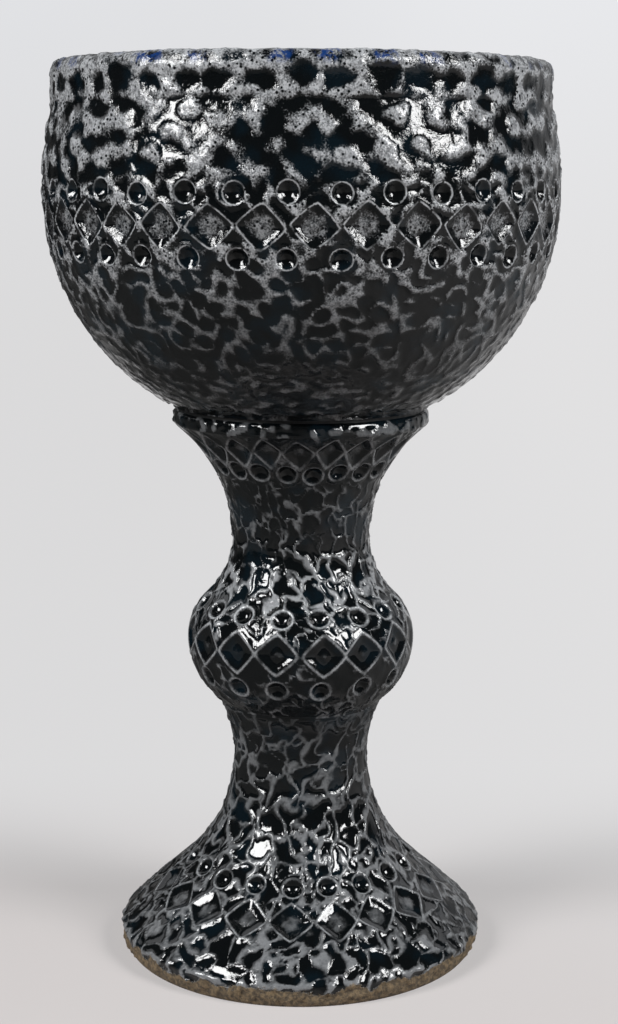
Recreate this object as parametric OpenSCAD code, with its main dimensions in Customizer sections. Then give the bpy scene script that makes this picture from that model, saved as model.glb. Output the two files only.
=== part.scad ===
// Salt-glazed stoneware goblet: three thrown sections luted together with slip.
// +Z is up, the front faces -Y, and the origin is the centre of the foot's resting face. Millimetres.

/* [Foot] */
// Outside radius of the foot at its toe
toe_r = 33.2; // [30:0.1:38]
// Radius of the rounded toe
toe_round = 4.2; // [3:0.1:5]
// How far the toe's widest line stands out past the resting edge
toe_tuck = 0.9; // [0.4:0.1:1.4]
// Slope of the foot's flare, in degrees from upright
flare_deg = 48; // [44:1:52]
// Outside radius of the waist above the foot
foot_waist_r = 12.3; // [10:0.1:15]
// Height of that waist above the table
foot_waist_z = 36; // [32:0.5:42]
// Height from that waist to the joint under the knop
foot_neck_rise = 9.8; // [7:0.1:12]
// How far the joint under the knop stands out past the waist
joint_swell = 2.3; // [1:0.1:3.5]
// Thickness of the foot's wall
foot_wall = 5.3; // [4:0.1:7]

/* [Stem] */
// Outside radius of the knop at its widest
knop_r = 20.5; // [18:0.1:24]
// Height of the knop's widest line above the stem's lower end
knop_z = 11.6; // [9:0.1:14]
// Radius of the knop's upper shoulder
knop_shoulder = 10.3; // [9:0.1:12]
// Outside radius of the waist above the knop
stem_waist_r = 12.5; // [10:0.1:15]
// Height from the knop's widest line to that waist
waist_rise = 18.5; // [16:0.1:22]
// Height from that waist to the collar's lower edge
collar_rise = 21; // [18:0.1:24]
// Outside radius of the collar, and of the bowl's pad on it
collar_r = 22.9; // [20:0.1:25]
// Thickness of the collar's edge
collar_t = 2.3; // [1.6:0.1:3.5]
// Radius of the collar's rounded edge
collar_round = 0.8; // [0.4:0.1:1.2]

/* [Bowl] */
// Height of the turned pad that sits on the collar
pad_h = 1.2; // [0.6:0.1:2]
// How far the bowl's curve springs out past the pad
pad_ledge = 2; // [0.5:0.1:3]
// Outside radius of the bowl at its widest
belly_r = 45.1; // [38:0.1:54]
// Height of the widest line above the bowl's underside
belly_rise = 37.1; // [31:0.1:44]
// Height from the widest line to the lip's lower edge
shoulder_rise = 15; // [11:0.1:18]
// How far the lip stands in from the widest line
lip_in = 1.8; // [1:0.1:3]
// Height of the upright lip
lip_h = 7.5; // [5:0.1:10]
// Thickness of the bowl's wall
bowl_wall = 3.8; // [3:0.1:5]
// Thickness of the bowl's floor
floor_t = 5.5; // [4:0.1:8]

/* [Joints] */
// Thickness of the slip in each luted joint
slip_t = 0.6; // [0.3:0.1:1]
// How far the slip under the knop stays back from the outside
slip_inset = 0.4; // [0.2:0.1:0.8]

/* [Stamps] */
// Width of the diamond stamp
diamond_w = 7.5; // [6:0.1:9]
// Width of the narrower diamond stamp round the neck
neck_diamond_w = 5; // [4:0.1:6]
// Height of the diamond stamp
diamond_h = 7.2; // [6:0.1:8]
// Depth of the diamond stamp
diamond_depth = 0.8; // [0.4:0.1:1.2]
// Width of the round stamp
dot_w = 3.5; // [2.6:0.1:4]
// Depth of the round stamp
dot_depth = 1; // [0.6:0.1:1.4]
// Least gap between the corners of two diamonds on the bowl
bowl_gap = 0.7; // [0.5:0.1:1.5]
// Least gap between the corners of two diamonds on the stem and the foot
stem_gap = 0.5; // [0.4:0.1:1.5]
// Clay left between a diamond's tip and the dot or edge next to it
tip_gap = 1.2; // [0.6:0.1:1.5]
// How far the dots in the notches between diamonds lie past the diamonds' tips
notch_rise = 1.5; // [0.5:0.1:2]
// Drop from the bowl's widest line to its diamonds
bowl_band_drop = 4.2; // [3:0.1:7]
// Height of the knop's diamonds above its widest line
knop_band_rise = 1; // [0:0.1:2]
// Length down the foot's cone from the end of the waist's arc to the foot's diamonds
foot_band_drop = 4.2; // [3:0.1:6]
// Turn of the bowl's first diamond from the front, in degrees
bowl_first = 2.6; // [-5:0.1:5]
// Turn of the knop's first diamond from the front, in degrees
knop_first = 11.2; // [-11.2:0.1:11.2]
// Turn of the neck's first diamond from the front, in degrees
neck_first = -1; // [-8:0.1:8]
// Turn of the foot's first diamond from the front, in degrees
foot_first = -4.4; // [-9:0.1:9]

/* [Hidden] */
$fn = 96;
// Spare length by which a cutting shape runs past the surface that it cuts
over = 1;
// Turn of the front from +X, in degrees
front = -90;
// Colours of the glaze and of the slip in the joints
glaze_dark = [0.16, 0.18, 0.20];
slip_grey = [0.30, 0.28, 0.26];

// Radius of an arc that starts upright and reaches a point that lies run across and rise up from its start
function arc_through(run, rise) = (run * run + rise * rise) / (2 * run);

// Angle that a length along an arc takes
function turn(length, arc) = length / arc * 180 / PI;

// How many stamps fit round a circle
function fit_round(r, pitch) = floor(2 * PI * r / pitch);

// Foot: the flare is a straight cone that touches the rounded toe below and the waist's arc above
toe_centre = [toe_r - toe_round, sqrt(toe_tuck * (2 * toe_round - toe_tuck))];
flare_out = [cos(flare_deg), sin(flare_deg)];
flare_reach = toe_centre * flare_out + toe_round;
flare_arc = ([foot_waist_r, foot_waist_z] * flare_out - flare_reach) / (1 - flare_out[0]);
flare_centre = [foot_waist_r + flare_arc, foot_waist_z];
joint_r = foot_waist_r + joint_swell;
foot_neck_arc = arc_through(joint_swell, foot_neck_rise);
foot_h = foot_waist_z + foot_neck_rise;
channel_r = foot_waist_r - foot_wall;

// Stem: the knop's lower arc rises from the joint, and its shoulder runs into the waist's arc, which meets
// the arc that opens into the collar
stem_waist_z = knop_z + waist_rise;
collar_z = stem_waist_z + collar_rise;
stem_h = collar_z + collar_t;
knop_arc = arc_through(knop_r - joint_r, knop_z);
knop_centre = [knop_r - knop_arc, knop_z];
shoulder_centre = [knop_r - knop_shoulder, knop_z];
waist_run = stem_waist_r - shoulder_centre[0];
waist_arc = (waist_run * waist_run + waist_rise * waist_rise - knop_shoulder * knop_shoulder)
          / (2 * (knop_r - stem_waist_r));
waist_centre = [stem_waist_r + waist_arc, stem_waist_z];
waist_meet_z = knop_z + waist_rise * knop_shoulder / (knop_shoulder + waist_arc);
collar_arc = arc_through(collar_r - stem_waist_r, collar_rise);
collar_centre = [stem_waist_r + collar_arc, stem_waist_z];

// Bowl: one arc from the pad to the belly, and one from the belly to the lip
lip_r = belly_r - lip_in;
lip_z = belly_rise + shoulder_rise;
bowl_h = lip_z + lip_h;
belly_arc = arc_through(belly_r - collar_r - pad_ledge, belly_rise - pad_h);
belly_centre = [belly_r - belly_arc, belly_rise];
lip_arc = arc_through(lip_in, shoulder_rise);
lip_centre = [belly_r - lip_arc, belly_rise];

// Places of the stem and the bowl above the table
stem_z = foot_h + slip_t;
bowl_z = stem_z + stem_h + slip_t;

// A round stamp is the end of a ball whose centre lies outside the clay
dot_ball = (dot_w * dot_w / 4 + dot_depth * dot_depth) / (2 * dot_depth);
// Lengths along the surface from a row of diamonds to the dots past its tips, and to the dots in its notches
dot_rise = diamond_h / 2 + tip_gap + dot_w / 2;
notch_reach = diamond_h / 2 + notch_rise;

// A slice, between two heights, of the round clay inside the circle at centre
module swelling(centre, r, z0, z1) {
    intersection() {
        translate(centre) circle(r);
        translate([0, z0]) square([centre[0] + r + over, z1 - z0]);
    }
}

// A slice, between two heights, of the clay left beside the circle at centre
module hollowing(centre, r, z0, z1) {
    difference() {
        translate([0, z0]) square([centre[0], z1 - z0]);
        translate(centre) circle(r);
    }
}

// A row of stamps round an arc's surface. tilt is the row's angle on the arc, and side is 1 where the clay
// swells out from the arc's centre and -1 where it hollows in
module ring_of_stamps(count, first, centre, arc, tilt, side) {
    for (i = [0 : count - 1])
        rotate([0, 0, front + first + i * 360 / count])
            translate([centre[0], 0, centre[1]])
                rotate([0, -tilt, 0])
                    translate([side * arc, 0, 0])
                        rotate([0, side > 0 ? 0 : 180, 0])
                            children();
}

// A diamond pressed in along -X from the surface at the origin
module diamond_stamp(w = diamond_w) {
    translate([-diamond_depth, 0, 0])
        rotate([90, 0, 90])
            linear_extrude(diamond_depth + over)
                polygon([[-w / 2, 0], [0, -diamond_h / 2], [w / 2, 0], [0, diamond_h / 2]]);
}

// A round dimple pressed in along -X from the surface at the origin
module dot_stamp() {
    translate([dot_ball - dot_depth, 0, 0]) sphere(dot_ball);
}

// Half section of the foot, without its hollow
module foot_outline() {
    on_arc = flare_centre - flare_arc * flare_out;
    on_toe = toe_centre + toe_round * flare_out;
    polygon([[0, 0], [toe_centre[0], 0], toe_centre, on_toe, on_arc, [0, on_arc[1]]]);
    swelling(toe_centre, toe_round, 0, toe_centre[1] + toe_round);
    hollowing(flare_centre, flare_arc, on_arc[1], foot_waist_z);
    hollowing([foot_waist_r + foot_neck_arc, foot_waist_z], foot_neck_arc, foot_waist_z, foot_h);
}

// Half section of the hollow inside the foot, one wall away from the outside
module foot_hollow() {
    inner_arc = flare_arc + foot_wall;
    on_inner = flare_centre - inner_arc * flare_out;
    drop = on_inner[1] + over;
    polygon([[0, -over], on_inner + drop * [tan(flare_deg), -1], on_inner, [0, on_inner[1]]]);
    hollowing(flare_centre, inner_arc, on_inner[1], foot_waist_z);
    square([channel_r, foot_h + over]);
}

// The diamonds sit on the flare's cone, with a dot above each on its arc
module foot() {
    band_centre = flare_centre + foot_band_drop * [flare_out[1], -flare_out[0]];
    stamps = fit_round(band_centre[0] - flare_arc * flare_out[0], diamond_w + stem_gap);
    dot_tilt = flare_deg - turn(dot_rise - foot_band_drop, flare_arc);
    color(glaze_dark)
        difference() {
            rotate_extrude() foot_outline();
            rotate_extrude() foot_hollow();
            ring_of_stamps(stamps, foot_first, band_centre, flare_arc, flare_deg, -1) diamond_stamp();
            ring_of_stamps(stamps, foot_first, flare_centre, flare_arc, dot_tilt, -1) dot_stamp();
        }
}

// Ring of slip between two sections
module slip_ring(z, r) {
    color(slip_grey)
        translate([0, 0, z])
            difference() {
                cylinder(h = slip_t, r = r);
                translate([0, 0, -over]) cylinder(h = slip_t + 2 * over, r = channel_r);
            }
}

module foot_slip() {
    slip_ring(foot_h, joint_r - slip_inset);
}

module bowl_slip() {
    slip_ring(stem_z + stem_h, collar_r - collar_round);
}

// Half section of the stem, without its channel
module stem_outline() {
    square([stem_waist_r, stem_waist_z]);
    swelling(knop_centre, knop_arc, 0, knop_z);
    swelling(shoulder_centre, knop_shoulder, knop_z, waist_meet_z);
    hollowing(waist_centre, waist_arc, waist_meet_z, stem_waist_z);
    hollowing(collar_centre, collar_arc, stem_waist_z, collar_z);
    translate([0, collar_z]) square([collar_r - collar_round, collar_t]);
    translate([0, collar_z]) square([collar_r, collar_t - collar_round]);
    translate([collar_r - collar_round, stem_h - collar_round]) circle(collar_round);
}

// The knop's diamonds have a dot above and below each
module knop_stamps() {
    band_tilt = asin(knop_band_rise / knop_shoulder);
    upper_tilt = band_tilt + turn(dot_rise, knop_shoulder);
    band_length = knop_shoulder * band_tilt * PI / 180;
    lower_tilt = turn(band_length - dot_rise, knop_arc);
    stamps = fit_round(shoulder_centre[0] + knop_shoulder * cos(band_tilt), diamond_w + stem_gap);
    ring_of_stamps(stamps, knop_first, shoulder_centre, knop_shoulder, band_tilt, 1) diamond_stamp();
    ring_of_stamps(stamps, knop_first, shoulder_centre, knop_shoulder, upper_tilt, 1) dot_stamp();
    ring_of_stamps(stamps, knop_first, knop_centre, knop_arc, lower_tilt, 1) dot_stamp();
}

// The neck's narrower diamonds hang below the collar, with a dot in each notch below
module neck_stamps() {
    edge_tilt = -asin(collar_rise / collar_arc);
    band_tilt = edge_tilt + turn(diamond_h / 2 + tip_gap, collar_arc);
    dot_tilt = band_tilt + turn(notch_reach, collar_arc);
    stamps = fit_round(collar_centre[0] - collar_arc * cos(band_tilt), neck_diamond_w + stem_gap);
    notch = neck_first + 180 / stamps;
    ring_of_stamps(stamps, neck_first, collar_centre, collar_arc, band_tilt, -1) diamond_stamp(neck_diamond_w);
    ring_of_stamps(stamps, notch, collar_centre, collar_arc, dot_tilt, -1) dot_stamp();
}

module stem() {
    color(glaze_dark)
        translate([0, 0, stem_z])
            difference() {
                rotate_extrude() stem_outline();
                translate([0, 0, -over]) cylinder(h = stem_h + 2 * over, r = channel_r);
                knop_stamps();
                neck_stamps();
            }
}

// Half section of the bowl as a solid lump
module bowl_outline() {
    square([collar_r, pad_h]);
    swelling(belly_centre, belly_arc, pad_h, belly_rise);
    swelling(lip_centre, lip_arc, belly_rise, lip_z);
    translate([0, lip_z]) square([lip_r, lip_h - bowl_wall / 2]);
    translate([lip_r - bowl_wall / 2, bowl_h - bowl_wall / 2]) circle(bowl_wall / 2);
}

// Half section of the space inside the bowl
module bowl_inside() {
    swelling(belly_centre, belly_arc - bowl_wall, floor_t, belly_rise);
    swelling(lip_centre, lip_arc - bowl_wall, belly_rise, lip_z);
    translate([0, lip_z]) square([lip_r - bowl_wall, lip_h + over]);
}

// The bowl's diamonds have a dot in each notch above and below
module bowl_stamps() {
    band_tilt = -asin(bowl_band_drop / belly_arc);
    notch_turn = turn(notch_reach, belly_arc);
    stamps = fit_round(belly_centre[0] + belly_arc * cos(band_tilt), diamond_w + bowl_gap);
    notch = bowl_first + 180 / stamps;
    ring_of_stamps(stamps, bowl_first, belly_centre, belly_arc, band_tilt, 1) diamond_stamp();
    for (way = [-1, 1])
        ring_of_stamps(stamps, notch, belly_centre, belly_arc, band_tilt + way * notch_turn, 1) dot_stamp();
}

module bowl() {
    color(glaze_dark)
        translate([0, 0, bowl_z])
            difference() {
                rotate_extrude() bowl_outline();
                rotate_extrude() bowl_inside();
                bowl_stamps();
            }
}

foot();
foot_slip();
stem();
bowl_slip();
bowl();
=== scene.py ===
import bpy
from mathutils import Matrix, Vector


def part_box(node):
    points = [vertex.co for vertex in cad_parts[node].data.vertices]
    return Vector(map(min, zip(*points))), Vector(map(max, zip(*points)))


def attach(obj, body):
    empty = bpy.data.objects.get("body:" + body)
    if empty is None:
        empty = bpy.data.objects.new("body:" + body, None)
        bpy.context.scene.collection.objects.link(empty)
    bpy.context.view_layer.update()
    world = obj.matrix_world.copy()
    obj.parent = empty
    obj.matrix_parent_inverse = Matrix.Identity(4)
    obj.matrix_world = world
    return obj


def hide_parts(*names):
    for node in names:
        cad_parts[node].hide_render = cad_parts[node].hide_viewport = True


bl_info = {
    "name": "Salt-Glazed Goblet",
    "version": (1, 0, 0),
    "blender": (4, 5, 0),
    "location": "View3D > Sidebar > Goblet",
    "description": "Throws, stamps and glazes a stoneware goblet around its fixed solids",
    "category": "Add Mesh",
}

import math
import random
from dataclasses import dataclass

import bpy
import numpy as np
from mathutils import Vector, noise

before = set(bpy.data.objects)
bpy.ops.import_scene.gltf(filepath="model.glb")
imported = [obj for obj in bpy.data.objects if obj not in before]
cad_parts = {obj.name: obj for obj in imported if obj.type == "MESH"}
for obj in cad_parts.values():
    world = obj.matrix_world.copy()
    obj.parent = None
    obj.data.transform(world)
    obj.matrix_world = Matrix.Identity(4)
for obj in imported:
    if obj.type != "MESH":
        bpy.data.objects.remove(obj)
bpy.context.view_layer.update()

FOOT_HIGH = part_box("foot")[1]
STEM_LOW, STEM_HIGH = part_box("stem")
BOWL_LOW, BOWL_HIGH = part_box("bowl")

MM = 0.001
FRONT = -math.pi / 2
WELD = 0.003 * MM  # corners closer than this become one
CREASE = math.radians(55)  # edges sharper than this stay sharp
LAP_T = 0.3 * MM  # thickness of the glaze where it laps over the slip
LOW_GRAIN = 0.15  # grain of the glaze on the foot and the stem, against the upper bowl's
CAMERA_AT = (0, -0.3335, 0.1425)
CAMERA_TURN = (79.5, -0.167, -0.22)  # degrees
CAMERA_LENS = 65.78  # millimetres
CAMERA_SENSOR = 36  # millimetres
MIX_SHARE, MIX_FIRST, MIX_SECOND, MIX_RESULT = 0, 6, 7, 2  # the Mix node's sockets for colours


def length(name, description, millimetres):
    """A size in the sidebar, given in millimetres and kept in metres."""
    return bpy.props.FloatProperty(
        name=name,
        description=description,
        default=millimetres * MM,
        min=0.0,
        precision=5,
        unit="LENGTH",
    )


def angle(name, description, degrees):
    """A turn in the sidebar, given in degrees and kept in radians."""
    return bpy.props.FloatProperty(
        name=name, description=description, default=math.radians(degrees), unit="ROTATION"
    )


def colour(name, description, rgb):
    """A colour in the sidebar, as linear red, green and blue."""
    return bpy.props.FloatVectorProperty(
        name=name, description=description, default=rgb, size=3, min=0.0, max=1.0, subtype="COLOR"
    )


class GobletSizes(bpy.types.PropertyGroup):
    """Sizes of the thrown sections and their stamps"""

    toe_round: length("Toe round", "Radius of the foot's rounded toe", 4.2)
    toe_tuck: length("Toe tuck", "How far the toe stands out past the resting edge", 0.9)
    flare: angle("Flare", "Slope of the foot's flare from upright", 48)
    foot_waist_r: length("Foot waist", "Outside radius of the waist above the foot", 12.3)
    foot_waist_z: length("Foot waist height", "Height of that waist above the table", 36)
    joint_swell: length("Joint swell", "How far the joint under the knop stands out past the waist", 2.3)
    lap: length("Lap", "How far the glaze laps over the slip under the knop, from either side", 0.29)
    foot_wall: length("Foot wall", "Thickness of the foot's wall", 5.3)
    knop_r: length("Knop", "Outside radius of the knop", 20.5)
    knop_z: length("Knop height", "Height of the knop's widest line above the stem's lower end", 11.6)
    knop_shoulder: length("Knop shoulder", "Radius of the knop's upper shoulder", 10.3)
    stem_waist_r: length("Stem waist", "Outside radius of the waist above the knop", 12.5)
    waist_rise: length("Waist rise", "Height from the knop's widest line to the waist above it", 18.5)
    collar_t: length("Collar edge", "Thickness of the collar's edge", 2.3)
    collar_round: length("Collar round", "Radius of the collar's rounded edge", 0.8)
    pad_h: length("Pad height", "Height of the bowl's pad on the collar", 1.2)
    pad_ledge: length("Pad ledge", "How far the bowl's curve springs out past the pad", 2)
    belly_rise: length("Belly rise", "Height of the bowl's widest line above its underside", 37.1)
    lip_in: length("Lip set-in", "How far the lip stands in from the widest line", 1.8)
    lip_h: length("Lip height", "Height of the upright lip", 7.5)
    bowl_wall: length("Bowl wall", "Thickness of the bowl's wall", 3.8)
    floor_t: length("Bowl floor", "Thickness of the bowl's floor", 5.5)
    diamond_w: length("Diamond width", "Width of the diamond stamp", 7.5)
    neck_diamond_w: length("Neck diamond width", "Width of the narrower diamond stamp round the neck", 5)
    diamond_h: length("Diamond height", "Height of the diamond stamps", 7.2)
    dot_w: length("Dot width", "Width of the round stamp", 3.5)
    bowl_gap: length("Bowl gap", "Least gap between two diamonds' corners on the bowl", 0.7)
    stem_gap: length("Stem gap", "Least gap between two diamonds' corners below the bowl", 0.5)
    tip_gap: length("Tip gap", "Clay between a diamond's tip and the dot or edge next to it", 1.2)
    notch_rise: length("Notch rise", "How far the dots in the notches lie past the diamonds' tips", 1.5)
    bowl_band_drop: length("Bowl band drop", "Drop from the bowl's widest line to its diamonds", 4.2)
    knop_band_rise: length("Knop band rise", "Height of the knop's diamonds above its widest line", 1)
    foot_band_drop: length("Foot band drop", "Drop along the foot's cone from its top to the diamonds", 4.2)
    bowl_first: angle("Bowl turn", "Turn of the bowl's first diamond from the front", 2.6)
    knop_first: angle("Knop turn", "Turn of the knop's first diamond from the front", 11.2)
    neck_first: angle("Neck turn", "Turn of the neck's first diamond from the front", -1)
    foot_first: angle("Foot turn", "Turn of the foot's first diamond from the front", -4.4)
    relief: length("Relief", "Height of the glaze's ridges above its pools", 0.42)


class GobletFinish(bpy.types.PropertyGroup):
    """Colours of the glaze, the clay and the stage"""

    pool: colour("Pool", "Thick dark glaze in the hollows", (0.0018, 0.0026, 0.0030))
    pool_tint: colour("Pool tint", "Blue-green where the thick glaze thins", (0.0018, 0.0055, 0.0085))
    ridge: colour("Ridge", "Thin pale glaze on the ridges", (0.37, 0.385, 0.40))
    ridge_grey: colour("Grey ridge", "Thicker glaze between the pale grains", (0.14, 0.147, 0.154))
    cobalt: colour("Cobalt", "Cobalt stain round the rim", (0.006, 0.030, 0.125))
    clay: colour("Clay", "Bare fired clay at the toe", (0.175, 0.126, 0.07))
    clay_dark: colour("Clay pits", "Dark pits in the bare clay", (0.06, 0.045, 0.028))
    slip: colour("Slip", "Slip in the luted joints", (0.010, 0.011, 0.012))
    # The paper's colour runs from floor to paper, painted paler behind the goblet and towards the right.
    floor: colour("Floor", "Floor of the stage", (0.55, 0.502, 0.488))
    backdrop: colour("Paper", "Paper behind the object", (0.64, 0.615, 0.612))
    # Colours of the paper's painted glow, from its lower part to its upper part.
    backdrop_low: colour("Low backdrop", "What is seen of the backdrop's lower part", (0.71, 0.705, 0.71))
    backdrop_high: colour("High backdrop", "What is seen of its upper part", (0.77, 0.78, 0.805))
    room: colour("Room", "Dim light of the room round the stage", (0.04, 0.041, 0.043))
    # Painted dark reflection: reflections see the paper in this colour round the foot and at the sides.
    painted_dark_reflection: colour("Apron", "Paper round the foot and at the sides, in reflections", (0.13, 0.128, 0.125))


def arc_through(run, rise):
    """Radius of an arc that starts upright and ends run across and rise up from its start."""
    return (run * run + rise * rise) / (2 * run)


def on_arc(centre, radius, tilt):
    """The point of an arc at a tilt, in the half section."""
    return (centre[0] + radius * math.cos(tilt), centre[1] + radius * math.sin(tilt))


def arc(centre, radius, start, end, step):
    """Points on an arc of the half section, about a step apart, after its start."""
    count = max(2, round(abs(end - start) * radius / step))
    turns = np.linspace(start, end, count + 1)[1:]
    return [on_arc(centre, radius, turn) for turn in turns]


def straight(start, end, step):
    """Points on a straight stretch of the half section, about a step apart, after its start."""
    count = max(1, round(math.dist(start, end) / step))
    shares = np.linspace(0, 1, count + 1)[1:]
    return [tuple(a + (b - a) * share for a, b in zip(start, end)) for share in shares]


def lap_over(radius, height, rise, step):
    """Points on the thin edge of glaze that laps over the slip of a joint, after its inner corner."""
    inner = radius - LAP_T
    corners = [(inner, height), (inner, height + rise), (radius, height + rise), (radius, height)]
    return [point for start, end in zip(corners, corners[1:]) for point in straight(start, end, step)]


def fit_round(radius, pitch):
    """How many stamps fit round a circle."""
    return math.floor(math.tau * radius / pitch)


def smooth(low, high, value):
    """A smooth step from 0 at low to 1 at high, which may be the lower of the two."""
    share = np.clip((value - low) / (high - low), 0.0, 1.0)
    return share * share * (3 - 2 * share)


def hump(centre, width, value):
    """1 at the centre, falling off within about a width on either side."""
    return np.exp(-(((value - centre) / width) ** 2))


def uneven(seed, count, ways, nearest):
    """How far off each mark of a row is, from -1 to 1 in each way, at the places nearest to it."""
    draw = random.Random(seed)
    marks = np.array([[draw.uniform(-1, 1) for _ in range(ways)] for _ in range(count)])
    return marks[nearest % count].T


def throw(name, outline, columns):
    """Turns a half section, a list of (radius, height), into a closed solid of revolution."""
    bpy.ops.object.select_all(action="DESELECT")
    bpy.ops.mesh.primitive_plane_add(size=MM)
    piece = bpy.context.object
    piece.name = name
    bpy.ops.object.mode_set(mode="EDIT")
    bpy.ops.mesh.select_all(action="SELECT")
    bpy.ops.mesh.merge(type="CENTER")
    bpy.ops.transform.translate(value=(outline[0][0], 0, outline[0][1]))
    for (r0, z0), (r1, z1) in zip(outline, outline[1:]):
        bpy.ops.mesh.extrude_region_move(TRANSFORM_OT_translate={"value": (r1 - r0, 0, z1 - z0)})
    bpy.ops.mesh.select_all(action="SELECT")
    bpy.ops.mesh.spin(steps=columns, angle=math.tau, center=(0, 0, 0), axis=(0, 0, 1))
    bpy.ops.mesh.select_all(action="SELECT")
    bpy.ops.mesh.remove_doubles(threshold=WELD)
    bpy.ops.mesh.normals_make_consistent(inside=False)
    bpy.ops.object.mode_set(mode="OBJECT")
    bpy.ops.object.shade_smooth_by_angle(angle=CREASE)
    return piece


@dataclass
class StampRow:
    """A row of like stamps round a section, in millimetres.

    at is its radius and height, and tilt its slope. patch is the radius of the pale glaze in a diamond's
    middle, and bulge is how far that middle stands up. line is the width of the pale line round a stamp,
    where 1 is that of the bowl's stamps.
    """

    count: int
    first: float
    at: tuple
    tilt: float
    seed: int
    w: float
    h: float
    depth: float
    dished: bool = False
    patch: float = 1.4
    bulge: float = 0.15
    line: float = 1.0


def diamonds(sizes, count, first, at, tilt, seed, width=None, depth=0.9, **changes):
    """A row of diamonds."""
    at = (at[0] / MM, at[1] / MM)
    w = (width or sizes.diamond_w) / MM
    h = sizes.diamond_h / MM
    return StampRow(count, first, at, tilt, seed, w, h, depth, **changes)


def dots(sizes, count, first, at, tilt, seed, line=1.0, depth=1.15):
    """A row of dots."""
    at = (at[0] / MM, at[1] / MM)
    w = sizes.dot_w / MM
    return StampRow(count, first, at, tilt, seed, w, w, depth, dished=True, line=line)


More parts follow.
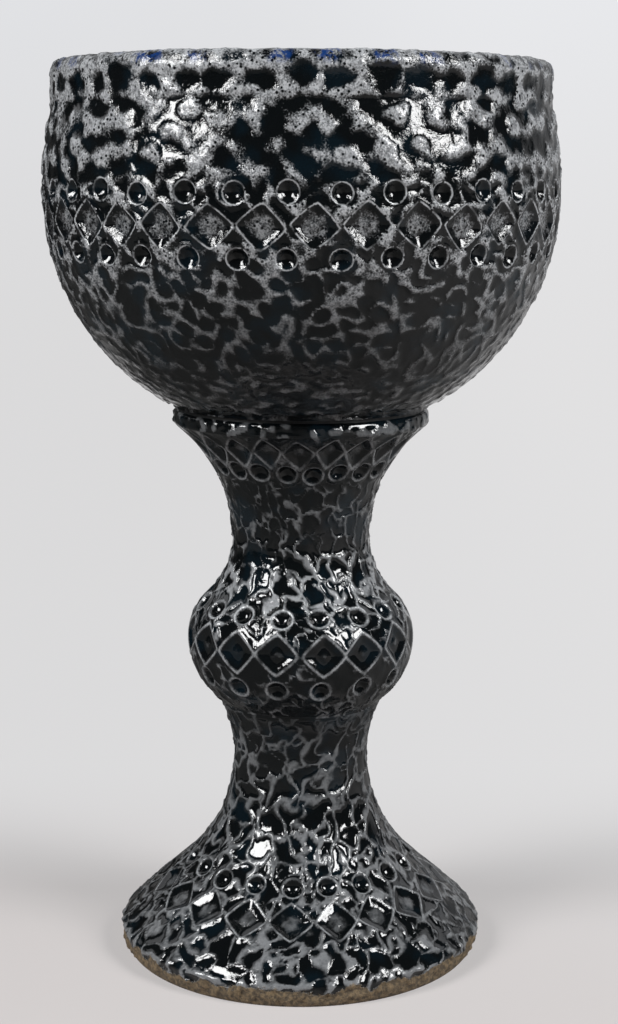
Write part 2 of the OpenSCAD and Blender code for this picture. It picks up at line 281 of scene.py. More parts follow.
class Skin:
    """The surface of a thrown section while it is stamped and glazed, in millimetres."""

    KEPT = ("relief", "stamp", "tone", "grain", "bare", "cobalt")
    POOL = -1.0  # relief of a dark pool
    CLEAR_OF_STAMPS = 9.0  # distance to a stamp's edge where none is near
    SEED_SHIFT = np.array((17.3, 9.1, 23.7))  # how far each seed moves the noise
    STAMP_SLIP = 0.3  # most that a stamp is off its place
    STAMP_LEAN = 0.1  # most that it leans, in radians
    STAMP_SPREAD = 0.05  # most that its width and height are off, as a share
    STAMP_REACH = 6  # how far in or out from its place it marks the clay
    STAMP_FACING = -0.2  # least outward part of the clay's normal where it does so
    LIP_H = 0.14  # height of the clay pushed up round it
    LIP_AT = 0.25  # how far outside its edge that clay is highest
    LIP_W = 0.35  # how wide that clay is to either side
    DIAMOND_POWER = 1.14  # 1 would give straight sides, and 2 an oval

    def __init__(self, piece):
        self.mesh = piece.data
        count = len(self.mesh.vertices)
        places = np.empty(count * 3)
        normals = np.empty(count * 3)
        self.mesh.vertices.foreach_get("co", places)
        self.mesh.vertex_normals.foreach_get("vector", normals)
        self.places = places.reshape(-1, 3) / MM
        self.normals = normals.reshape(-1, 3)
        self.z = self.places[:, 2]
        self.r = np.hypot(self.places[:, 0], self.places[:, 1])
        self.turn = np.arctan2(self.places[:, 1], self.places[:, 0])
        self.outward = self.normals[:, 0] * np.cos(self.turn) + self.normals[:, 1] * np.sin(self.turn)
        self.raised = np.zeros(count)
        self.relief = np.full(count, self.POOL)
        self.stamp = np.full(count, self.CLEAR_OF_STAMPS)
        # How bright the pale glaze is: its own tone, with painted shade and painted light that each section
        # lays on it.
        self.tone = np.ones(count)
        self.grain = np.ones(count)
        self.bare = np.zeros(count)
        self.cobalt = np.zeros(count)

    def lumps(self, size, seed, stretch=1.0):
        """Noise at each place, in lumps of about this size, drawn out upwards by stretch."""
        spots = self.places / (size, size, size * stretch) + self.SEED_SHIFT * seed
        return np.array([noise.noise(Vector(spot)) for spot in spots])

    def net(self, size, width, seed, stretch=1.0, breaks=0.0):
        """A net of lines round uneven cells: above 0 on a line of about this width."""
        sway_size = 0.7 * size
        sway_reach = 0.5 * size
        break_size = 1.2 * size
        least_slope = 0.3
        sway_seeds = (seed + 60, seed + 70, seed + 80)
        break_seed = seed + 50
        sway = np.column_stack([self.lumps(sway_size, each) for each in sway_seeds])
        spots = (self.places + sway_reach * sway) / (size, size, size * stretch) + self.SEED_SHIFT * seed
        reaches, seeds = zip(*(noise.voronoi(Vector(spot)) for spot in spots))
        reaches = np.array([reach[:2] for reach in reaches])
        ways = (spots[:, None, :] - np.array([pair[:2] for pair in seeds])) / reaches[:, :, None]
        slope = ways[:, 1] - ways[:, 0]
        slope = slope - np.sum(slope * self.normals, axis=1)[:, None] * self.normals
        steepness = np.maximum(np.linalg.norm(slope, axis=1), least_slope)
        line = width / 2 - size * (reaches[:, 1] - reaches[:, 0]) / steepness
        return line - breaks * smooth(0.1, -0.2, self.lumps(break_size, break_seed))

    def maze(self, wave, radius, seed):
        """Ridges above 0 and pools below it, of about even width, that wander round the axis."""
        draw = random.Random(seed)
        count = 48
        shortest = 0.8
        longest = 1.3
        total = np.zeros_like(self.z)
        for _ in range(count):
            way = draw.uniform(0, math.pi)
            pitch = wave * draw.uniform(shortest, longest)
            around = round(math.tau * radius / pitch * math.cos(way))
            upward = math.tau / pitch * math.sin(way)
            total += np.cos(around * self.turn + upward * self.z + draw.uniform(0, math.tau))
        return total / math.sqrt(count / 2)

    def scrawl(self, wave, width, radius, seed):
        """Short lines between the maze's ridges and pools: above 0 on a line of about this width."""
        break_size = 0.7 * wave
        break_depth = 0.5
        break_seed = seed + 50
        line = width / 2 - np.abs(self.maze(wave, radius, seed)) * wave / math.tau
        return line - break_depth * smooth(0.0, -0.2, self.lumps(break_size, break_seed))

    def press(self, row):
        """Presses a row of stamps into the clay, each a little off its place as by hand."""
        pitch = math.tau / row.count
        first = FRONT + row.first
        nearest = np.round((self.turn - first) / pitch).astype(int)
        aside, aloft, leaning, wider, taller = uneven(row.seed, row.count, ways=5, nearest=nearest)
        turn = first + nearest * pitch
        beside = self.places[:, 1] * np.cos(turn) - self.places[:, 0] * np.sin(turn)
        outer = self.places[:, 0] * np.cos(turn) + self.places[:, 1] * np.sin(turn) - row.at[0]
        rise = self.z - row.at[1]
        out = outer * math.cos(row.tilt) + rise * math.sin(row.tilt)
        across = beside + self.STAMP_SLIP * aside
        up = rise * math.cos(row.tilt) - outer * math.sin(row.tilt) + self.STAMP_SLIP * aloft
        lean = self.STAMP_LEAN * leaning
        across, up = across - lean * up, up + lean * across
        half_w = row.w / 2 * (1 + self.STAMP_SPREAD * wider)
        half_h = row.h / 2 * (1 + self.STAMP_SPREAD * taller)
        if row.dished:
            reach = np.hypot(across / half_w, up / half_h)
            edge = (reach - 1) * row.w / 2
            sink = -row.depth * np.clip(1 - reach * reach, 0, 1)
            middle = np.full_like(edge, self.POOL)
        else:
            power = self.DIAMOND_POWER
            reach = (np.abs(across / half_w) ** power + np.abs(up / half_h) ** power) ** (1 / power)
            edge = (reach - 1) * row.w * row.h / 2 / math.hypot(row.w, row.h)
            wall = smooth(0.1, -1.5, edge)
            dome = smooth(0.7, 0.0, reach)
            sink = -row.depth * wall + row.bulge * dome
            patch = np.minimum(0.8 * (row.patch - np.hypot(across, up)), 0.4)
            middle = patch + 0.7 * self.lumps(size=1.1, seed=row.seed)
        near = (np.abs(out) < self.STAMP_REACH) & (self.outward > self.STAMP_FACING)
        edge = np.where(near, edge, self.CLEAR_OF_STAMPS)
        inside = edge < 0
        lip = self.LIP_H * hump(self.LIP_AT, self.LIP_W, edge)
        self.raised += np.where(inside, sink, 0) + np.where(near, lip, 0)
        self.relief = np.where(inside, middle, self.relief)
        self.stamp = np.minimum(self.stamp, edge / row.line)

    def glaze(self, field, height, free, beside):
        """Lays the glaze.

        field is above 0 on pale ridges and below 0 in pools, and beside is added to it next to the stamps.
        height is the ridges' height over the pools, and free is the share of it that each place gets.
        """
        inside = smooth(-0.3, -0.6, self.stamp)
        clear = smooth(0.1, 0.8, self.stamp)
        next_to = smooth(2.2, 0.3, self.stamp)
        dulled = 0.4
        pool_level = 0.4
        field = field + beside * next_to
        self.relief = np.where(self.stamp > 0, field, self.relief)
        self.tone = self.tone * (1 - dulled * inside)
        beads = 0.8 + 0.8 * self.lumps(size=1.1, seed=77)
        swell = smooth(-1.1, 1.1, field)
        self.raised += height * free * clear * (swell * beads - pool_level)

    def finish(self):
        """Moves the surface and keeps what the glaze's material reads."""
        places = (self.places + self.normals * self.raised[:, None]) * MM
        self.mesh.vertices.foreach_set("co", places.ravel())
        for name in self.KEPT:
            layer = self.mesh.attributes.new(name, "FLOAT", "POINT")
            layer.data.foreach_set("value", getattr(self, name))
        self.mesh.update()


def keep(piece, node, finish):
    """Glazes a finished section and puts it in its solid's place."""
    piece.data.materials.append(glaze_material(finish))
    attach(piece, "root")
    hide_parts(node)


def add(tree, kind, inputs=None, **settings):
    """Adds a node, sets it up, and links or sets its inputs."""
    node = tree.nodes.new(kind)
    for name, value in settings.items():
        setattr(node, name, value)
    for name, value in (inputs or {}).items():
        if isinstance(value, bpy.types.NodeSocket):
            tree.links.new(value, node.inputs[name])
        else:
            node.inputs[name].default_value = value
    return node


def maths(tree, operation, *values):
    """One step of arithmetic on one to three values."""
    return add(tree, "ShaderNodeMath", dict(enumerate(values)), operation=operation).outputs[0]


def ramp(tree, value, low, high):
    """A smooth step from 0 at low to 1 at high, which may be the lower of the two."""
    inputs = {"Value": value, "From Min": low, "From Max": high}
    step = add(tree, "ShaderNodeMapRange", inputs, interpolation_type="SMOOTHSTEP")
    return step.outputs["Result"]


def mix(tree, share, first, second):
    """A blend of two colours."""
    ends = [end if isinstance(end, bpy.types.NodeSocket) else (*end, 1) for end in (first, second)]
    inputs = {MIX_SHARE: share, MIX_FIRST: ends[0], MIX_SECOND: ends[1]}
    return add(tree, "ShaderNodeMix", inputs, data_type="RGBA").outputs[MIX_RESULT]


def grain(tree, place, size, detail=2.0):
    """Noise in lumps of about this size, from 0 to 1."""
    inputs = {"Vector": place, "Scale": 1 / size, "Detail": detail, "Roughness": 0.6}
    return add(tree, "ShaderNodeTexNoise", inputs).outputs["Fac"]


def kept(tree, name):
    """A value that the surface keeps for the glaze."""
    return add(tree, "ShaderNodeAttribute", attribute_name=name).outputs["Fac"]


def glaze_material(finish):
    """Salt glaze: pale on the ridges, dark and glassy in the pools, with bare clay at the toe."""
    name = "salt_glaze_looks"
    if name in bpy.data.materials:
        return bpy.data.materials[name]
    material = bpy.data.materials.new(name)
    material.use_nodes = True
    tree = material.node_tree
    tree.nodes.clear()
    place = add(tree, "ShaderNodeTexCoord").outputs["Object"]
    fine = grain(tree, place, size=0.3 * MM)
    crumbs = grain(tree, place, size=0.8 * MM, detail=4.0)
    ragged = grain(tree, place, size=0.9 * MM, detail=3.0)
    patchy = grain(tree, place, size=2.6 * MM)
    broad = grain(tree, place, size=7 * MM)
    hole_size = 0.85 * MM
    holes = add(tree, "ShaderNodeTexVoronoi", {"Vector": place, "Scale": 1 / hole_size})

    # Pale on the ridges and on the lines round the stamps.
    field = maths(tree, "ADD", kept(tree, "relief"), maths(tree, "SUBTRACT", ragged, 0.5))
    specks = maths(tree, "MULTIPLY", maths(tree, "MULTIPLY_ADD", fine, 1.6, -0.8), kept(tree, "grain"))
    plateau = ramp(tree, maths(tree, "ADD", field, specks), -0.35, 0.95)
    edge = maths(tree, "ABSOLUTE", maths(tree, "SUBTRACT", kept(tree, "stamp"), 0.06))
    outline = ramp(tree, maths(tree, "MULTIPLY_ADD", fine, 0.3, edge), 0.36, 0.16)
    outline = maths(tree, "MULTIPLY", outline, ramp(tree, patchy, 0.2, 0.62))
    pale = maths(tree, "MAXIMUM", plateau, outline)
    # The pale glaze takes its tone, which holds painted shade and painted light as well as the glaze's own
    # tone.
    pale = maths(tree, "MULTIPLY", pale, kept(tree, "tone"))

    # The coat's colours: mottled, pinholed ridges, tinted pools and cobalt round the rim.
    mottle = maths(tree, "SUBTRACT", maths(tree, "MULTIPLY_ADD", ragged, 0.8, fine), 0.9)
    mottle = maths(tree, "MULTIPLY_ADD", mottle, kept(tree, "grain"), 0.5)
    clear = maths(tree, "MAXIMUM", ramp(tree, mottle, 0.34, 0.66), outline)
    ridge = mix(tree, clear, finish.ridge_grey, finish.ridge)
    pinholes = ramp(tree, holes.outputs["Distance"], 0.36, 0.2)
    ridge = mix(tree, maths(tree, "MULTIPLY", pinholes, kept(tree, "grain")), ridge, finish.pool)
    pool = mix(tree, ramp(tree, broad, 0.48, 0.66), finish.pool, finish.pool_tint)
    coat = mix(tree, pale, pool, ridge)
    stain = maths(tree, "MULTIPLY", kept(tree, "cobalt"), ramp(tree, ragged, 0.42, 0.58))
    coat = mix(tree, stain, coat, finish.cobalt)

    # Bare clay, pitted and rough, where the glaze ends.
    clay = mix(tree, ramp(tree, crumbs, 0.36, 0.66), finish.clay_dark, finish.clay)
    bare = ramp(tree, maths(tree, "MULTIPLY_ADD", ragged, 1.2, kept(tree, "bare")), 0.95, 1.2)
    gloss = maths(tree, "MULTIPLY_ADD", pale, 0.06, 0.06)
    roughness = add(tree, "ShaderNodeMapRange", {"Value": bare, "To Min": gloss, "To Max": 0.85})

    # Relief too small for the mesh: the steps of the ridges, the peel of the glaze and the clay's crumbs.
    bump_height = 0.2 * MM
    swell = ramp(tree, field, -0.7, 0.9)
    step = {"Strength": 0.4, "Distance": bump_height, "Height": swell}
    stepped = add(tree, "ShaderNodeBump", step).outputs["Normal"]
    skin = maths(tree, "MULTIPLY", fine, maths(tree, "MULTIPLY", pale, 0.28))
    peel_share = maths(tree, "MULTIPLY_ADD", kept(tree, "grain"), 0.38, 0.17)
    skin = maths(tree, "MULTIPLY_ADD", ragged, peel_share, skin)
    skin = maths(tree, "MULTIPLY_ADD", crumbs, maths(tree, "MULTIPLY", bare, 3.0), skin)
    peel = {"Strength": 0.7, "Distance": bump_height, "Height": skin, "Normal": stepped}

    surface = {
        "Base Color": mix(tree, bare, coat, clay),
        "Roughness": roughness.outputs["Result"],
        "IOR": 1.55,
        "Normal": add(tree, "ShaderNodeBump", peel).outputs["Normal"],
    }
    shader = add(tree, "ShaderNodeBsdfPrincipled", surface)
    add(tree, "ShaderNodeOutputMaterial", {"Surface": shader.outputs["BSDF"]})
    return material


class GOBLET_OT_foot(bpy.types.Operator):
    """Throws the flared foot, stamps it and glazes it down to its bare toe"""

    bl_idname = "goblet.foot"
    bl_label = "Foot"

    def execute(self, context):
        s = context.scene.goblet_sizes
        top = FOOT_HIGH[2]
        joint_r = s.foot_waist_r + s.joint_swell
        channel_r = s.foot_waist_r - s.foot_wall
        toe_z = math.sqrt(s.toe_tuck * (2 * s.toe_round - s.toe_tuck))
        toe = (FOOT_HIGH[0] - s.toe_round, toe_z)
        out = (math.cos(s.flare), math.sin(s.flare))
        reach = toe[0] * out[0] + toe[1] * out[1] + s.toe_round
        flare_arc = (s.foot_waist_r * out[0] + s.foot_waist_z * out[1] - reach) / (1 - out[0])
        flare_centre = (s.foot_waist_r + flare_arc, s.foot_waist_z)
        neck_arc = arc_through(s.joint_swell, top - s.foot_waist_z)
        neck_centre = (s.foot_waist_r + neck_arc, s.foot_waist_z)
        neck_top = math.pi - math.asin((top - s.foot_waist_z) / neck_arc)
        inner_arc = flare_arc + s.foot_wall
        inner = on_arc(flare_centre, -inner_arc, s.flare)
        fine = 0.45 * MM
        coarse = 1.6 * MM

        outline = [(channel_r, top)]
        outline += straight(outline[-1], (joint_r - LAP_T, top), coarse)
        outline += lap_over(joint_r, top, s.lap, fine)
        outline += arc(neck_centre, neck_arc, neck_top, math.pi, fine)
        outline += arc(flare_centre, flare_arc, math.pi, math.pi + s.flare, fine)
        outline += straight(outline[-1], on_arc(toe, s.toe_round, s.flare), fine)
        outline += arc(toe, s.toe_round, s.flare, -math.asin(toe_z / s.toe_round), fine)
        outline += straight(outline[-1], (inner[0] + inner[1] * math.tan(s.flare), 0), coarse)
        outline += straight(outline[-1], inner, coarse)
        outline += arc(flare_centre, inner_arc, math.pi + s.flare, math.pi, coarse)
        outline += straight(outline[-1], outline[0], coarse)

        arc_end = on_arc(flare_centre, -flare_arc, s.flare)
        band = (arc_end[0] + s.foot_band_drop * out[1], arc_end[1] - s.foot_band_drop * out[0])
        count = fit_round(band[0], s.diamond_w + s.stem_gap)
        columns_per_stamp = 22
        piece = throw("glazed_foot", outline, count * columns_per_stamp)
        skin = Skin(piece)
        dot_rise = s.diamond_h / 2 + s.tip_gap + s.dot_w / 2
        dot_tilt = s.flare - (dot_rise - s.foot_band_drop) / flare_arc
        dot_at = on_arc(flare_centre, -flare_arc, dot_tilt)
        shallow = {"depth": 0.6, "patch": 1.5, "line": 1.4}
        skin.press(diamonds(s, count, s.foot_first, band, s.flare, seed=31, **shallow))
        skin.press(dots(s, count, s.foot_first, dot_at, dot_tilt, seed=32, line=1.6))

        # A net of ridges down to a bead of glaze, which has a dark line over it and bare clay under it.
        glaze_edge = 3.0
        underneath = (skin.normals[:, 2] < -0.5) & (skin.z < 2)
        hidden = (skin.outward < 0) | underneath
        web = skin.net(size=4.2, width=0.9, seed=3, breaks=0.2)
        field = 0.25 + 1.7 * web + 0.5 * skin.lumps(size=3.5, seed=5)
        field = field + 0.4 * skin.lumps(size=1.6, seed=4)
        field = field - 0.35 * hump(centre=glaze_edge + 2.6, width=0.9, value=skin.z)
        bead = np.where(hidden, 0, hump(centre=glaze_edge + 0.9, width=0.5, value=skin.z))
        field = field + bead * (0.9 + 1.5 * skin.lumps(size=1.4, seed=34))
        drips = skin.z + 1.4 * skin.lumps(size=3.0, seed=35)
        glazed = smooth(glaze_edge - 1.1, glaze_edge + 1.1, drips)
        skin.bare = np.where(hidden, 1.0, 1 - glazed)
        # Painted shade: the pale glaze dims up the foot towards its waist, and most at its top in the joint
        # under the knop.
        skin.tone = 0.64 - 0.22 * smooth(20, 32, skin.z) - 0.25 * smooth(39, 44, skin.z)
        skin.grain[:] = LOW_GRAIN
        off_ends = smooth(0.2, 1.4, skin.z) * smooth(0.1, 0.8, top / MM - skin.z)
        free = np.where(hidden, 0, off_ends)
        skin.glaze(field, 0.7 * s.relief / MM, free, beside=-0.1)
        crumbs = np.where(skin.z < glaze_edge, 0.5 * skin.lumps(size=1.3, seed=33), 0)
        skin.raised += free * (0.3 * bead + crumbs)
        skin.finish()
        keep(piece, "foot", context.scene.goblet_finish)
        return {"FINISHED"}


class GOBLET_OT_stem(bpy.types.Operator):
    """Throws the knopped stem, stamps it and glazes it"""

    bl_idname = "goblet.stem"
    bl_label = "Stem"

    def execute(self, context):
        s = context.scene.goblet_sizes
        bottom = STEM_LOW[2]
        top = STEM_HIGH[2]
        collar_r = STEM_HIGH[0]
        joint_r = s.foot_waist_r + s.joint_swell
        channel_r = s.foot_waist_r - s.foot_wall
        knop_z = bottom + s.knop_z
        waist_z = knop_z + s.waist_rise
        collar_z = top - s.collar_t
        knop_arc = arc_through(s.knop_r - joint_r, s.knop_z)
        knop_centre = (s.knop_r - knop_arc, knop_z)
        shoulder = (s.knop_r - s.knop_shoulder, knop_z)
        waist_run = s.stem_waist_r - shoulder[0]
        waist_reach = waist_run**2 + s.waist_rise**2 - s.knop_shoulder**2
        waist_arc = waist_reach / (2 * (s.knop_r - s.stem_waist_r))
        waist_centre = (s.stem_waist_r + waist_arc, waist_z)
        meet = math.asin(s.waist_rise / (s.knop_shoulder + waist_arc))
        collar_arc = arc_through(collar_r - s.stem_waist_r, collar_z - waist_z)
        collar_centre = (s.stem_waist_r + collar_arc, waist_z)
        collar_edge = math.asin((collar_z - waist_z) / collar_arc)
        rounding = (collar_r - s.collar_round, top - s.collar_round)
        fine = 0.42 * MM
        coarse = 3 * MM

        outline = [(channel_r, bottom)]
        outline += straight(outline[-1], (joint_r - LAP_T, bottom), coarse)
        outline += lap_over(joint_r, bottom, -s.lap, fine)
        outline += arc(knop_centre, knop_arc, -math.asin(s.knop_z / knop_arc), 0, fine)
        outline += arc(shoulder, s.knop_shoulder, 0, meet, fine)
        outline += arc(waist_centre, waist_arc, math.pi + meet, math.pi, fine)
        outline += arc(collar_centre, collar_arc, math.pi, math.pi - collar_edge, fine)
        outline += straight(outline[-1], (collar_r, rounding[1]), fine)
        outline += arc(rounding, s.collar_round, 0, math.pi / 2, fine)
        outline += straight(outline[-1], (channel_r, top), coarse)
        outline += straight(outline[-1], outline[0], coarse)

        band_tilt = math.asin(s.knop_band_rise / s.knop_shoulder)
        band = on_arc(shoulder, s.knop_shoulder, band_tilt)
        count = fit_round(band[0], s.diamond_w + s.stem_gap)
        columns_per_stamp = 21
        piece = throw("glazed_stem", outline, count * columns_per_stamp)
        skin = Skin(piece)
        dot_rise = s.diamond_h / 2 + s.tip_gap + s.dot_w / 2
        upper_tilt = band_tilt + dot_rise / s.knop_shoulder
        lower_tilt = (s.knop_shoulder * band_tilt - dot_rise) / knop_arc
        upper_at = on_arc(shoulder, s.knop_shoulder, upper_tilt)
        lower_at = on_arc(knop_centre, knop_arc, lower_tilt)
        shallow = {"depth": 0.7, "patch": 0.3, "line": 1.7}
        skin.press(diamonds(s, count, s.knop_first, band, band_tilt, seed=21, **shallow))
        skin.press(dots(s, count, s.knop_first, upper_at, upper_tilt, seed=22, line=2.0))
        skin.press(dots(s, count, s.knop_first, lower_at, lower_tilt, seed=23, line=2.0))
        neck_tilt = -collar_edge + (s.diamond_h / 2 + s.tip_gap) / collar_arc
        neck_at = on_arc(collar_centre, -collar_arc, neck_tilt)
        neck_count = fit_round(neck_at[0], s.neck_diamond_w + s.stem_gap)
        notch_tilt = neck_tilt + (s.diamond_h / 2 + s.notch_rise) / collar_arc
        notch_at = on_arc(collar_centre, -collar_arc, notch_tilt)
        notch = s.neck_first + math.pi / neck_count
        narrow = {"width": s.neck_diamond_w, "patch": 0.9, "line": 1.8}
        skin.press(diamonds(s, neck_count, s.neck_first, neck_at, neck_tilt, seed=24, **narrow))
        skin.press(dots(s, neck_count, notch, notch_at, notch_tilt, seed=25, line=1.6))

        # A net of ridges, with more pale glaze over the crown of the knop, and beads of glaze on the
        # collar's edge.
        above = skin.z - knop_z / MM
        crown = smooth(1, 6, above) * (1 - smooth(12, 18, above))
        collar = smooth(collar_z / MM - 0.8, collar_z / MM, skin.z)
        beads = collar * smooth(0.0, 0.3, skin.lumps(size=1.8, seed=10))
        web = skin.net(size=3.2, width=0.5, seed=6, stretch=1.2, breaks=0.3)
        field = 0.2 + 2.2 * web + 0.4 * skin.lumps(size=3.5, seed=8)
        field = field + 0.4 * skin.lumps(size=1.6, seed=7)
        field = field + crown * (0.55 + 0.6 * skin.lumps(size=2.6, seed=9))
        field = field * (1 - collar) - 0.6 * collar + 1.4 * beads
        # Painted light and shade: the pale glaze is painted lighter over the knop's upturned crown and
        # darker under the knop's widest line and up the neck under the bowl.
        skin.tone = 0.44 + 0.24 * smooth(-9, -1, above) + 0.3 * crown - 0.3 * smooth(14, 24, above)
        skin.grain[:] = LOW_GRAIN
        off_ends = np.minimum(skin.z - bottom / MM, top / MM - skin.z)
        free = smooth(0.1, 0.8, off_ends) * smooth(-0.3, 0.0, skin.outward)
        skin.glaze(field, 0.8 * s.relief / MM, free, beside=-0.3)
        skin.finish()
        keep(piece, "stem", context.scene.goblet_finish)
        return {"FINISHED"}


class GOBLET_OT_bowl(bpy.types.Operator):
    """Throws the bowl, stamps its belly and glazes it inside and out"""

    bl_idname = "goblet.bowl"
    bl_label = "Bowl"

    def execute(self, context):
        s = context.scene.goblet_sizes
        bottom = BOWL_LOW[2]
        rim = BOWL_HIGH[2]
        belly_r = BOWL_HIGH[0]
        pad_r = STEM_HIGH[0]
        belly_z = bottom + s.belly_rise
        lip_z = rim - s.lip_h
        lip_r = belly_r - s.lip_in
        belly_arc = arc_through(belly_r - pad_r - s.pad_ledge, s.belly_rise - s.pad_h)
        belly = (belly_r - belly_arc, belly_z)
        spring = -math.asin((s.belly_rise - s.pad_h) / belly_arc)
        lip_arc = arc_through(s.lip_in, lip_z - belly_z)
        lip = (belly_r - lip_arc, belly_z)
        lip_turn = math.asin((lip_z - belly_z) / lip_arc)
        half_wall = s.bowl_wall / 2
        inner_lip = lip_arc - s.bowl_wall
        inner_arc = belly_arc - s.bowl_wall
        floor_turn = -math.asin((s.belly_rise - s.floor_t) / inner_arc)
        fine = 0.5 * MM
        lip_step = 0.9 * MM
        coarse = 2.2 * MM
        floor_step = 5 * MM
        pad_step = 6 * MM

        outline = [(0, bottom)]
        outline += straight(outline[-1], (pad_r, bottom), pad_step)
        outline += straight(outline[-1], (pad_r, bottom + s.pad_h), fine)
        outline += straight(outline[-1], (pad_r + s.pad_ledge, bottom + s.pad_h), fine)
        outline += arc(belly, belly_arc, spring, 0, fine)
        outline += arc(lip, lip_arc, 0, lip_turn, fine)
        outline += straight(outline[-1], (lip_r, rim - half_wall), fine)
        outline += arc((lip_r - half_wall, rim - half_wall), half_wall, 0, math.pi, fine)
        outline += straight(outline[-1], (lip_r - s.bowl_wall, lip_z), lip_step)
        outline += arc(lip, inner_lip, math.asin((lip_z - belly_z) / inner_lip), 0, coarse)
        outline += arc(belly, inner_arc, 0, floor_turn, coarse)
        outline += straight(outline[-1], (0, bottom + s.floor_t), floor_step)

        band_tilt = -math.asin(s.bowl_band_drop / belly_arc)
        band = on_arc(belly, belly_arc, band_tilt)
        count = fit_round(band[0], s.diamond_w + s.bowl_gap)
        columns_per_stamp = 15
        piece = throw("glazed_bowl", outline, count * columns_per_stamp)
        skin = Skin(piece)
        notch = s.bowl_first + math.pi / count
        notch_turn = (s.diamond_h / 2 + s.notch_rise) / belly_arc
        skin.press(diamonds(s, count, s.bowl_first, band, band_tilt, seed=11, patch=1.9, bulge=0.3))
        for seed, way in ((12, 1), (13, -1)):
            tilt = band_tilt + way * notch_turn
            skin.press(dots(s, count, notch, on_arc(belly, belly_arc, tilt), tilt, seed))

        # A maze over the stamps, squiggles under them and fine wheel marks round the pad.
        z = skin.z
        widest = belly_z / MM
        brim = rim / MM
        outside = smooth(-0.1, 0.25, skin.outward)
        maze = 0.7 * skin.maze(wave=4.6, radius=belly_r / MM, seed=1)
        maze = maze + 1.2 * skin.lumps(size=1.6, seed=2) + 0.9 * skin.lumps(size=6, seed=20) - 0.16
        squiggle = 0.18 + 2.2 * skin.scrawl(wave=4.0, width=0.75, radius=0.9 * belly_r / MM, seed=2)
        squiggle = squiggle + 0.5 * skin.lumps(size=1.5, seed=14)
        wheel = 1.8 * skin.lumps(size=2.0, seed=16, stretch=0.5)
        wheel = wheel + 0.9 * skin.lumps(size=1.3, seed=15) - 0.3
        upper = smooth(widest + 0.5, widest + 4.5, z)
        lowest = 1 - smooth(widest - 31, widest - 24, z)
        field = maze * upper + (1 - upper) * (squiggle * (1 - lowest) + wheel * lowest)
        pools_under_rim = 4.2
        field = self.pool_row(skin, field, brim - pools_under_rim, outside)
        rim_top = smooth(brim - 2.4, brim - 1.5, z)
        field = field * (1 - rim_top) + rim_top * (0.35 + 1.6 * skin.lumps(size=1.8, seed=18))
        field = field * outside + (1 - outside) * (field * 0.7 - 0.25)
        # Painted shade and thinner glaze: the pale glaze dims towards the bottom of the bowl, which turns
        # down from the lamps.
        skin.tone = 0.3 + 0.7 * smooth(widest - 26, widest - 4, z)
        skin.grain = 0.5 + 0.5 * smooth(widest - 20, widest - 6, z)
        skin.cobalt = smooth(0.12, 0.4, skin.lumps(size=4.5, seed=19)) * smooth(brim - 2.6, brim - 1.2, z)
        free = smooth(0.1, 0.9, z - bottom / MM) * (1 - 0.4 * rim_top)
        free = free * (0.6 + 0.4 * smooth(widest - 28, widest - 8, z))
        skin.glaze(field, s.relief / MM, free, beside=0.1)
        skin.finish()
        keep(piece, "bowl", context.scene.goblet_finish)
        return {"FINISHED"}

    def pool_row(self, skin, field, height, outside):
        """Lays a row of round dark pools into the glaze under the rim."""
        count = 44
        seed = 5
        slip = 0.8
        pitch = math.tau / count
        nearest = np.round(skin.turn / pitch).astype(int)
        aside, aloft, wider, taller = uneven(seed, count, ways=4, nearest=nearest)
        across = (skin.turn - nearest * pitch) * skin.r + slip * aside
        up = skin.z - height + slip * aloft
        half_w = 2.5 + 0.9 * wider
        half_h = 1.8 + 0.7 * taller
        steepness = 2.6
        pool = np.hypot(across / half_w, up / half_h) + 0.6 * skin.lumps(size=1.8, seed=17)
        rising = smooth(height - 3.4, height - 1.8, skin.z)
        ending = 1 - smooth(height + 2.0, height + 2.8, skin.z)
        in_row = outside * rising * ending
        return field * (1 - in_row) + in_row * steepness * (pool - 1)


class GOBLET_OT_slip(bpy.types.Operator):
    """Finishes the slip in the two luted joints"""

    bl_idname = "goblet.slip"
    bl_label = "Slip joints"

    def execute(self, context):
        finish = context.scene.goblet_finish
        material = bpy.data.materials.new("luting_slip_looks")
        material.use_nodes = True
        tree = material.node_tree
        shader = tree.nodes["Principled BSDF"]
        place = add(tree, "ShaderNodeTexCoord").outputs["Object"]
        lumps = grain(tree, place, size=1.2 * MM, detail=3.0)
        shade = mix(tree, ramp(tree, lumps, 0.35, 0.65), finish.slip, finish.pool)
        bump = add(tree, "ShaderNodeBump", {"Strength": 0.5, "Distance": 0.1 * MM, "Height": lumps})
        tree.links.new(shade, shader.inputs["Base Color"])
        tree.links.new(ramp(tree, lumps, -0.4, 1.6), shader.inputs["Roughness"])
        tree.links.new(bump.outputs["Normal"], shader.inputs["Normal"])
        for name in ("foot_slip", "bowl_slip"):
            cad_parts[name].material_slots[0].material = material
        return {"FINISHED"}


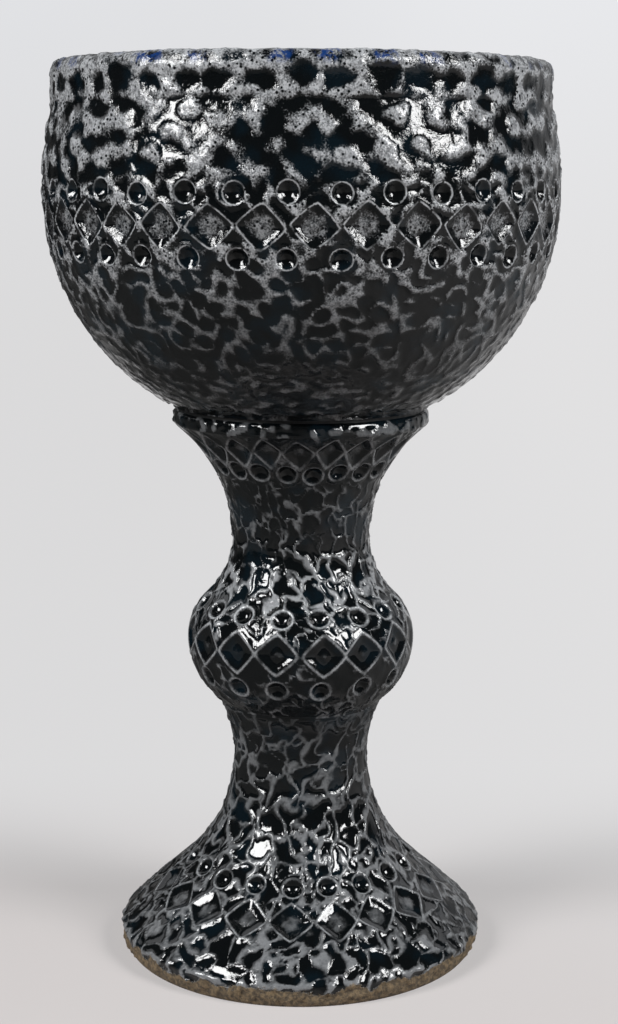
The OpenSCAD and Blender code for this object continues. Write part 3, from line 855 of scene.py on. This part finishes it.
class GOBLET_OT_stage(bpy.types.Operator):
    """Sets up a pale paper sweep, two softboxes and the camera"""

    bl_idname = "goblet.stage"
    bl_label = "Stage"

    def execute(self, context):
        finish = context.scene.goblet_finish
        sweep = paper_sweep(width=6, depth=2.2, back=0.9, bend=0.6, height=2.2)
        sweep.data.materials.append(paper_material(finish))
        softbox("softbox_left", side=-1, power=8.3)
        softbox("softbox_right", side=1, power=8.0)

        world = bpy.data.worlds.new("studio")
        context.scene.world = world
        world.use_nodes = True
        tree = world.node_tree
        seen = add(tree, "ShaderNodeLightPath").outputs["Is Camera Ray"]
        sky = mix(tree, seen, finish.room, finish.backdrop_high)
        tree.links.new(sky, tree.nodes["Background"].inputs["Color"])

        bpy.ops.object.camera_add(location=CAMERA_AT)
        camera = bpy.context.object
        camera.rotation_euler = [math.radians(turn) for turn in CAMERA_TURN]
        camera.data.sensor_width = CAMERA_SENSOR
        camera.data.lens = CAMERA_LENS
        camera.data.clip_start = 10 * MM
        context.scene.camera = camera
        context.scene.view_settings.view_transform = "Standard"
        return {"FINISHED"}


def softbox(name, side, power):
    """A soft lamp in front of the goblet and above it, on the left for a side of -1 or the right for 1."""
    aim = Vector((0, 0, 0.10))
    distance = 0.9
    way = Vector((side * 0.73, -0.46, 0.50)).normalized()
    bpy.ops.object.light_add(type="AREA", location=aim + distance * way)
    lamp = bpy.context.object
    lamp.name = name
    lamp.rotation_euler = way.to_track_quat("Z", "Y").to_euler()
    lamp.data.shape = "RECTANGLE"
    lamp.data.size = 0.30
    lamp.data.size_y = 0.42
    lamp.data.energy = power


def paper_sweep(width, depth, back, bend, height):
    """A sheet of paper that lies flat under the object and bends up behind it into a backdrop."""
    bend_steps = 24
    bpy.ops.object.select_all(action="DESELECT")
    bpy.ops.mesh.primitive_plane_add(size=1)
    sweep = bpy.context.object
    sweep.name = "paper_sweep"
    bpy.ops.object.mode_set(mode="EDIT")
    bpy.ops.mesh.select_all(action="SELECT")
    bpy.ops.transform.resize(value=(width, depth + back, 1))
    bpy.ops.transform.translate(value=(0, (back - depth) / 2, 0))
    bpy.ops.mesh.select_all(action="DESELECT")
    bpy.ops.object.mode_set(mode="OBJECT")
    for corner in sweep.data.vertices:
        corner.select = corner.co.y > back - MM
    bpy.ops.object.mode_set(mode="EDIT")
    bpy.ops.mesh.select_mode(type="EDGE", use_extend=True)
    bpy.ops.mesh.spin(steps=bend_steps, angle=-math.pi / 2, center=(0, back, bend), axis=(1, 0, 0))
    bpy.ops.mesh.extrude_region_move(TRANSFORM_OT_translate={"value": (0, 0, height)})
    bpy.ops.mesh.select_all(action="SELECT")
    bpy.ops.mesh.remove_doubles(threshold=WELD)
    bpy.ops.mesh.normals_make_consistent(inside=False)
    bpy.ops.mesh.select_mode(type="VERT")
    bpy.ops.object.mode_set(mode="OBJECT")
    bpy.ops.object.shade_smooth()
    return sweep


def painted_reflection_share(tree, axes, away):
    """Where reflections see the paper painted dark, a painted shade in its reflections: round the foot and
    at the sides, but less on the right.
    """
    less = 0.25
    in_front = ramp(tree, axes["Y"], 0.4, 0.15)
    painted_dark_reflection = maths(tree, "MULTIPLY", ramp(tree, away, 0.02, 0.05), in_front)
    aside = ramp(tree, maths(tree, "ABSOLUTE", axes["X"]), 0.07, 0.2)
    aside = maths(tree, "MULTIPLY", aside, ramp(tree, axes["Z"], 1.0, 0.7))
    right = ramp(tree, axes["X"], 0.0, 0.15)
    aside = maths(tree, "MULTIPLY", aside, maths(tree, "MULTIPLY_ADD", right, -less, 1.0))
    painted_dark_reflection = maths(tree, "MAXIMUM", painted_dark_reflection, aside)
    low_right = maths(tree, "MULTIPLY", right, ramp(tree, axes["Z"], 0.35, 0.1))
    return maths(tree, "MULTIPLY", painted_dark_reflection, maths(tree, "MULTIPLY_ADD", low_right, -less, 1.0))


def paper_material(finish):
    """Pale paper, with a painted glow that makes it look even to the camera and painted dark reflections
    round the foot and at the sides.
    """
    material = bpy.data.materials.new("pale_paper")
    material.use_nodes = True
    tree = material.node_tree
    shader = tree.nodes["Principled BSDF"]
    place = add(tree, "ShaderNodeTexCoord").outputs["Object"]
    axes = add(tree, "ShaderNodeSeparateXYZ", {"Vector": place}).outputs
    path = add(tree, "ShaderNodeLightPath").outputs
    away = add(tree, "ShaderNodeVectorMath", {0: place}, operation="LENGTH").outputs["Value"]

    # The paper itself, lit by the lamps, its colour painted paler behind the goblet and towards the right
    # to lift the shadows there.
    # Painted dark reflection: for reflections only, the paper's colour turns dark round the foot and at the
    # sides.
    dark = maths(tree, "MULTIPLY", painted_reflection_share(tree, axes, away), path["Is Glossy Ray"])
    behind = maths(tree, "MULTIPLY_ADD", axes["X"], 0.6, axes["Y"])
    tone = mix(tree, ramp(tree, behind, -0.04, 0.12), finish.floor, finish.backdrop)
    tree.links.new(mix(tree, dark, tone, finish.painted_dark_reflection), shader.inputs["Base Color"])
    shader.inputs["Roughness"].default_value = 0.9
    shader.inputs["Specular IOR Level"].default_value = 0.1

    # A painted glow, mixed in where the camera or a reflection sees the paper: lighter towards the top and
    # on the right, at least 0.45 of it on the floor near the goblet, which lifts its shadows, and all of it
    # behind and far off.
    shade = mix(tree, ramp(tree, axes["Z"], -0.07, 0.43), finish.backdrop_low, finish.backdrop_high)
    strength = maths(tree, "MULTIPLY_ADD", ramp(tree, axes["X"], -0.1, 0.2), 0.07, 0.99)
    painted_glow = add(tree, "ShaderNodeEmission", {"Color": shade, "Strength": strength})
    even = maths(tree, "MAXIMUM", ramp(tree, axes["Y"], -0.05, 0.105), 0.45)
    even = maths(tree, "MAXIMUM", ramp(tree, away, 0.4, 1.0), even)
    mirrored = maths(tree, "SUBTRACT", path["Is Glossy Ray"], dark)
    seen = maths(tree, "MULTIPLY", maths(tree, "MAXIMUM", path["Is Camera Ray"], mirrored), even)
    choice = add(tree, "ShaderNodeMixShader", {0: seen, 1: shader.outputs[0], 2: painted_glow.outputs[0]})
    tree.links.new(choice.outputs[0], tree.nodes["Material Output"].inputs["Surface"])
    return material


class GOBLET_PT_panel(bpy.types.Panel):
    """Lists the goblet's pieces and their sizes and colours"""

    bl_idname = "GOBLET_PT_panel"
    bl_label = "Goblet"
    bl_space_type = "VIEW_3D"
    bl_region_type = "UI"
    bl_category = "Goblet"

    def draw(self, context):
        for operator in OPERATORS:
            self.layout.operator(operator.bl_idname)
        for group in (context.scene.goblet_sizes, context.scene.goblet_finish):
            for name in group.__annotations__:
                self.layout.prop(group, name)


OPERATORS = (GOBLET_OT_foot, GOBLET_OT_stem, GOBLET_OT_bowl, GOBLET_OT_slip, GOBLET_OT_stage)
CLASSES = (GobletSizes, GobletFinish, *OPERATORS, GOBLET_PT_panel)


def register():
    for each in CLASSES:
        bpy.utils.register_class(each)
    bpy.types.Scene.goblet_sizes = bpy.props.PointerProperty(type=GobletSizes)
    bpy.types.Scene.goblet_finish = bpy.props.PointerProperty(type=GobletFinish)


def unregister():
    del bpy.types.Scene.goblet_finish
    del bpy.types.Scene.goblet_sizes
    for each in reversed(CLASSES):
        bpy.utils.unregister_class(each)


def main():
    register()
    bpy.ops.goblet.stage()
    bpy.ops.goblet.foot()
    bpy.ops.goblet.stem()
    bpy.ops.goblet.bowl()
    bpy.ops.goblet.slip()


if __name__ == "__main__":
    main()
